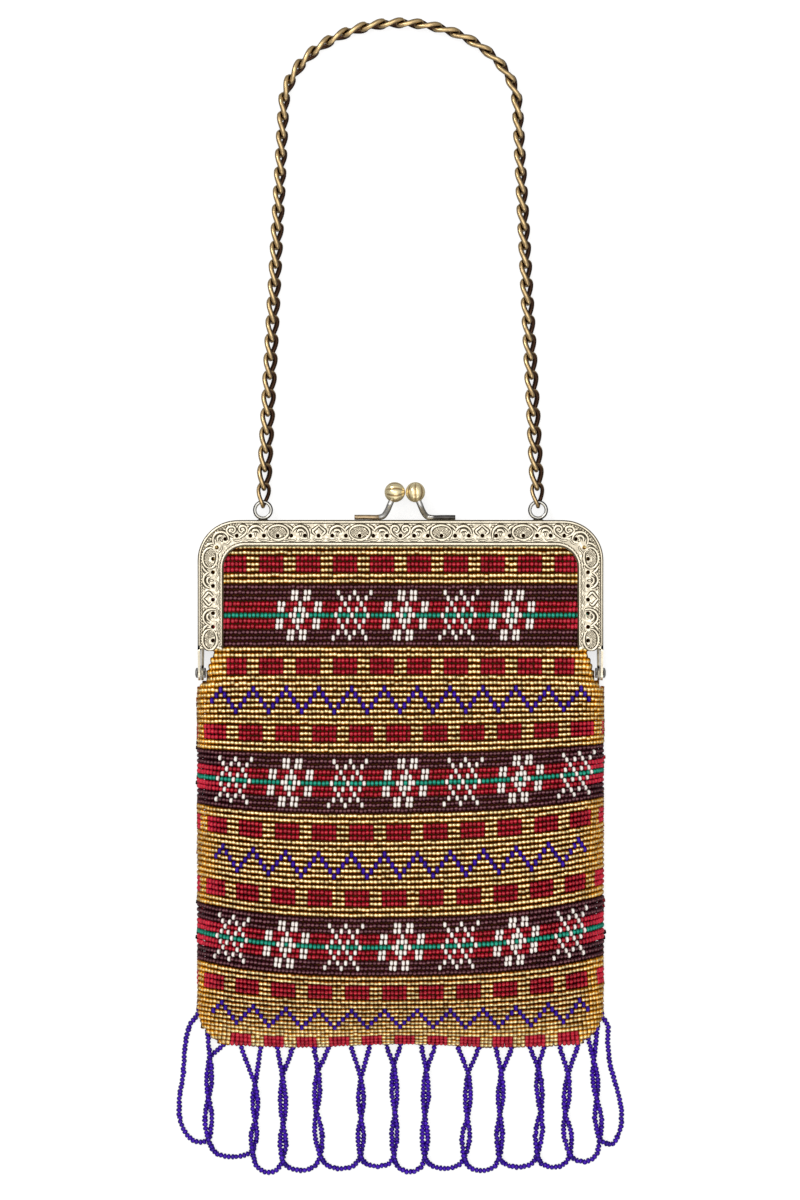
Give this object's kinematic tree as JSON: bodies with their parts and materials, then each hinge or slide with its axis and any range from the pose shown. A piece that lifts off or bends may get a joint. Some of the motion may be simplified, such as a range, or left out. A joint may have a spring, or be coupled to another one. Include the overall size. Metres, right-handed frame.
{
  "type": "beaded frame bag",
  "caption": "Flat bead-woven evening bag with a hinged filigree metal frame, a ball clasp, a curb chain handle and a looped bead fringe.",
  "frame": {"origin": "on the surface that the bag lies on, midway between the two hinges, on the back panel's underside", "axes": "+X to the right across the bag, +Y up the bag towards the chain, +Z out of its front"},
  "size_m": [0.1794, 0.4643, 0.0267],
  "materials": {
    "frame_metal": "antique pale plating",
    "rivet_metal": "dark antique plating",
    "clasp_metal": "antique nickel plating",
    "ball_metal": "polished pale gold",
    "eye_metal": "polished",
    "chain_metal": "antique",
    "beadwork": "glass beads on thread",
    "lining": "satin",
    "strand_glass": "gloss"
  },
  "bodies": {
    "bag": {"frame_back": "frame_metal", "hinge_rivet_left": "rivet_metal", "hinge_rivet_right": "rivet_metal", "clasp_arm_back": "clasp_metal", "clasp_ball_back": "ball_metal", "chain_eye_left": "eye_metal", "chain_eye_right": "eye_metal", "back_panel": "beadwork", "front_panel_lower": "beadwork", "front_panel_fold": "beadwork", "lining_back": "lining", "lining_front_lower": "lining", "fringe_loop_01": "strand_glass", "fringe_loop_02": "strand_glass", "fringe_loop_03": "strand_glass", "fringe_loop_04": "strand_glass", "fringe_loop_05": "strand_glass", "fringe_loop_06": "strand_glass", "fringe_loop_07": "strand_glass", "fringe_loop_08": "strand_glass", "fringe_loop_09": "strand_glass", "fringe_loop_10": "strand_glass", "fringe_loop_11": "strand_glass", "fringe_loop_12": "strand_glass", "fringe_loop_13": "strand_glass"},
    "front_half": {"frame_front": "frame_metal", "clasp_arm_front": "clasp_metal", "clasp_ball_front": "ball_metal", "front_panel_upper": "beadwork", "lining_front_upper": "lining"},
    "chain": {"chain_run_01": "chain_metal", "chain_run_02": "chain_metal", "chain_run_03": "chain_metal", "chain_run_04": "chain_metal", "chain_run_05": "chain_metal", "chain_run_06": "chain_metal", "chain_run_07": "chain_metal", "chain_run_08": "chain_metal", "chain_run_09": "chain_metal", "chain_run_10": "chain_metal", "chain_run_11": "chain_metal", "chain_run_12": "chain_metal"}
  },
  "joints": [
    {"name": "frame_hinge", "type": "hinge", "parent": "bag", "child": "front_half", "pos_m": [0, 0, 0.0065], "axis": [1, 0, 0], "range_deg": [0, 80], "deforming": ["front_panel_fold"]},
    {"name": "chain_swing", "type": "hinge", "parent": "bag", "child": "chain", "pos_m": [0, 0.0686, 0.00325], "axis": [1, 0, 0], "range_deg": [0, 100]}
  ]
}
